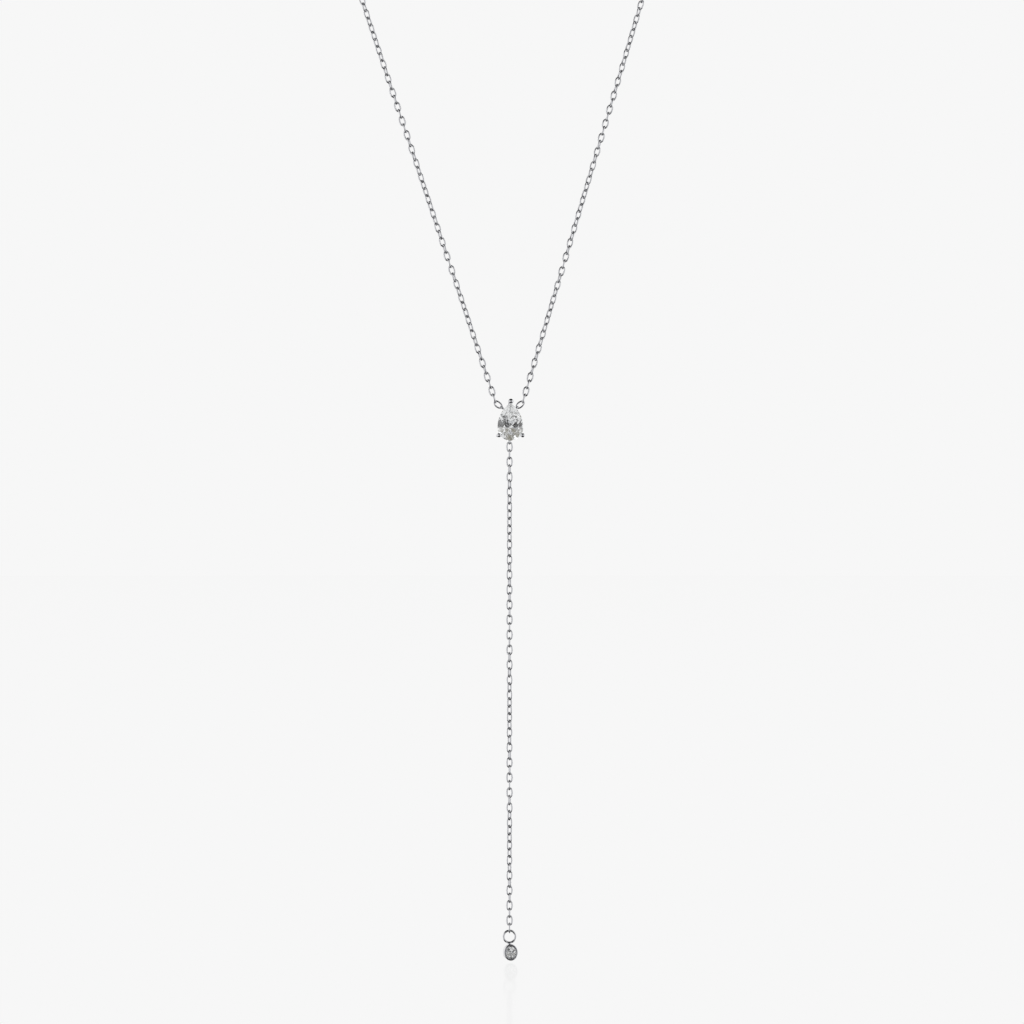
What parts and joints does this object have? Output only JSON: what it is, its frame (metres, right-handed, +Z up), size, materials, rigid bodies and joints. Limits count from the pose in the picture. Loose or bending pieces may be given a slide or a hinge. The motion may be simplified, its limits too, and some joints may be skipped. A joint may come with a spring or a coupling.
{
  "type": "y necklace",
  "caption": "Fine cable chain necklace whose arms meet at a clear pear-shaped stone in a claw setting, with a chain drop that ends in a small oval stone in a bezel.",
  "frame": {"origin": "the middle of the clasp, where the chain rests on the nape of the neck", "axes": "+Z up; -Y the way the wearer and the stones face; +X to the right as seen from the front, which is the wearer's left"},
  "size_m": [0.093, 0.1002, 0.2138],
  "materials": {
    "polished_metal": "polished, rhodium-plated silver",
    "clear_stone": "clear, faceted and polished"
  },
  "bodies": {
    "root": {"pear_stone": "clear_stone", "claw_setting": "polished_metal", "connector_link_left": "polished_metal", "connector_link_right": "polished_metal", "chain_left": "polished_metal", "chain_right": "polished_metal", "clasp": "polished_metal", "drop_chain": "polished_metal", "drop_bezel": "polished_metal", "drop_stone": "clear_stone"}
  },
  "joints": []
}
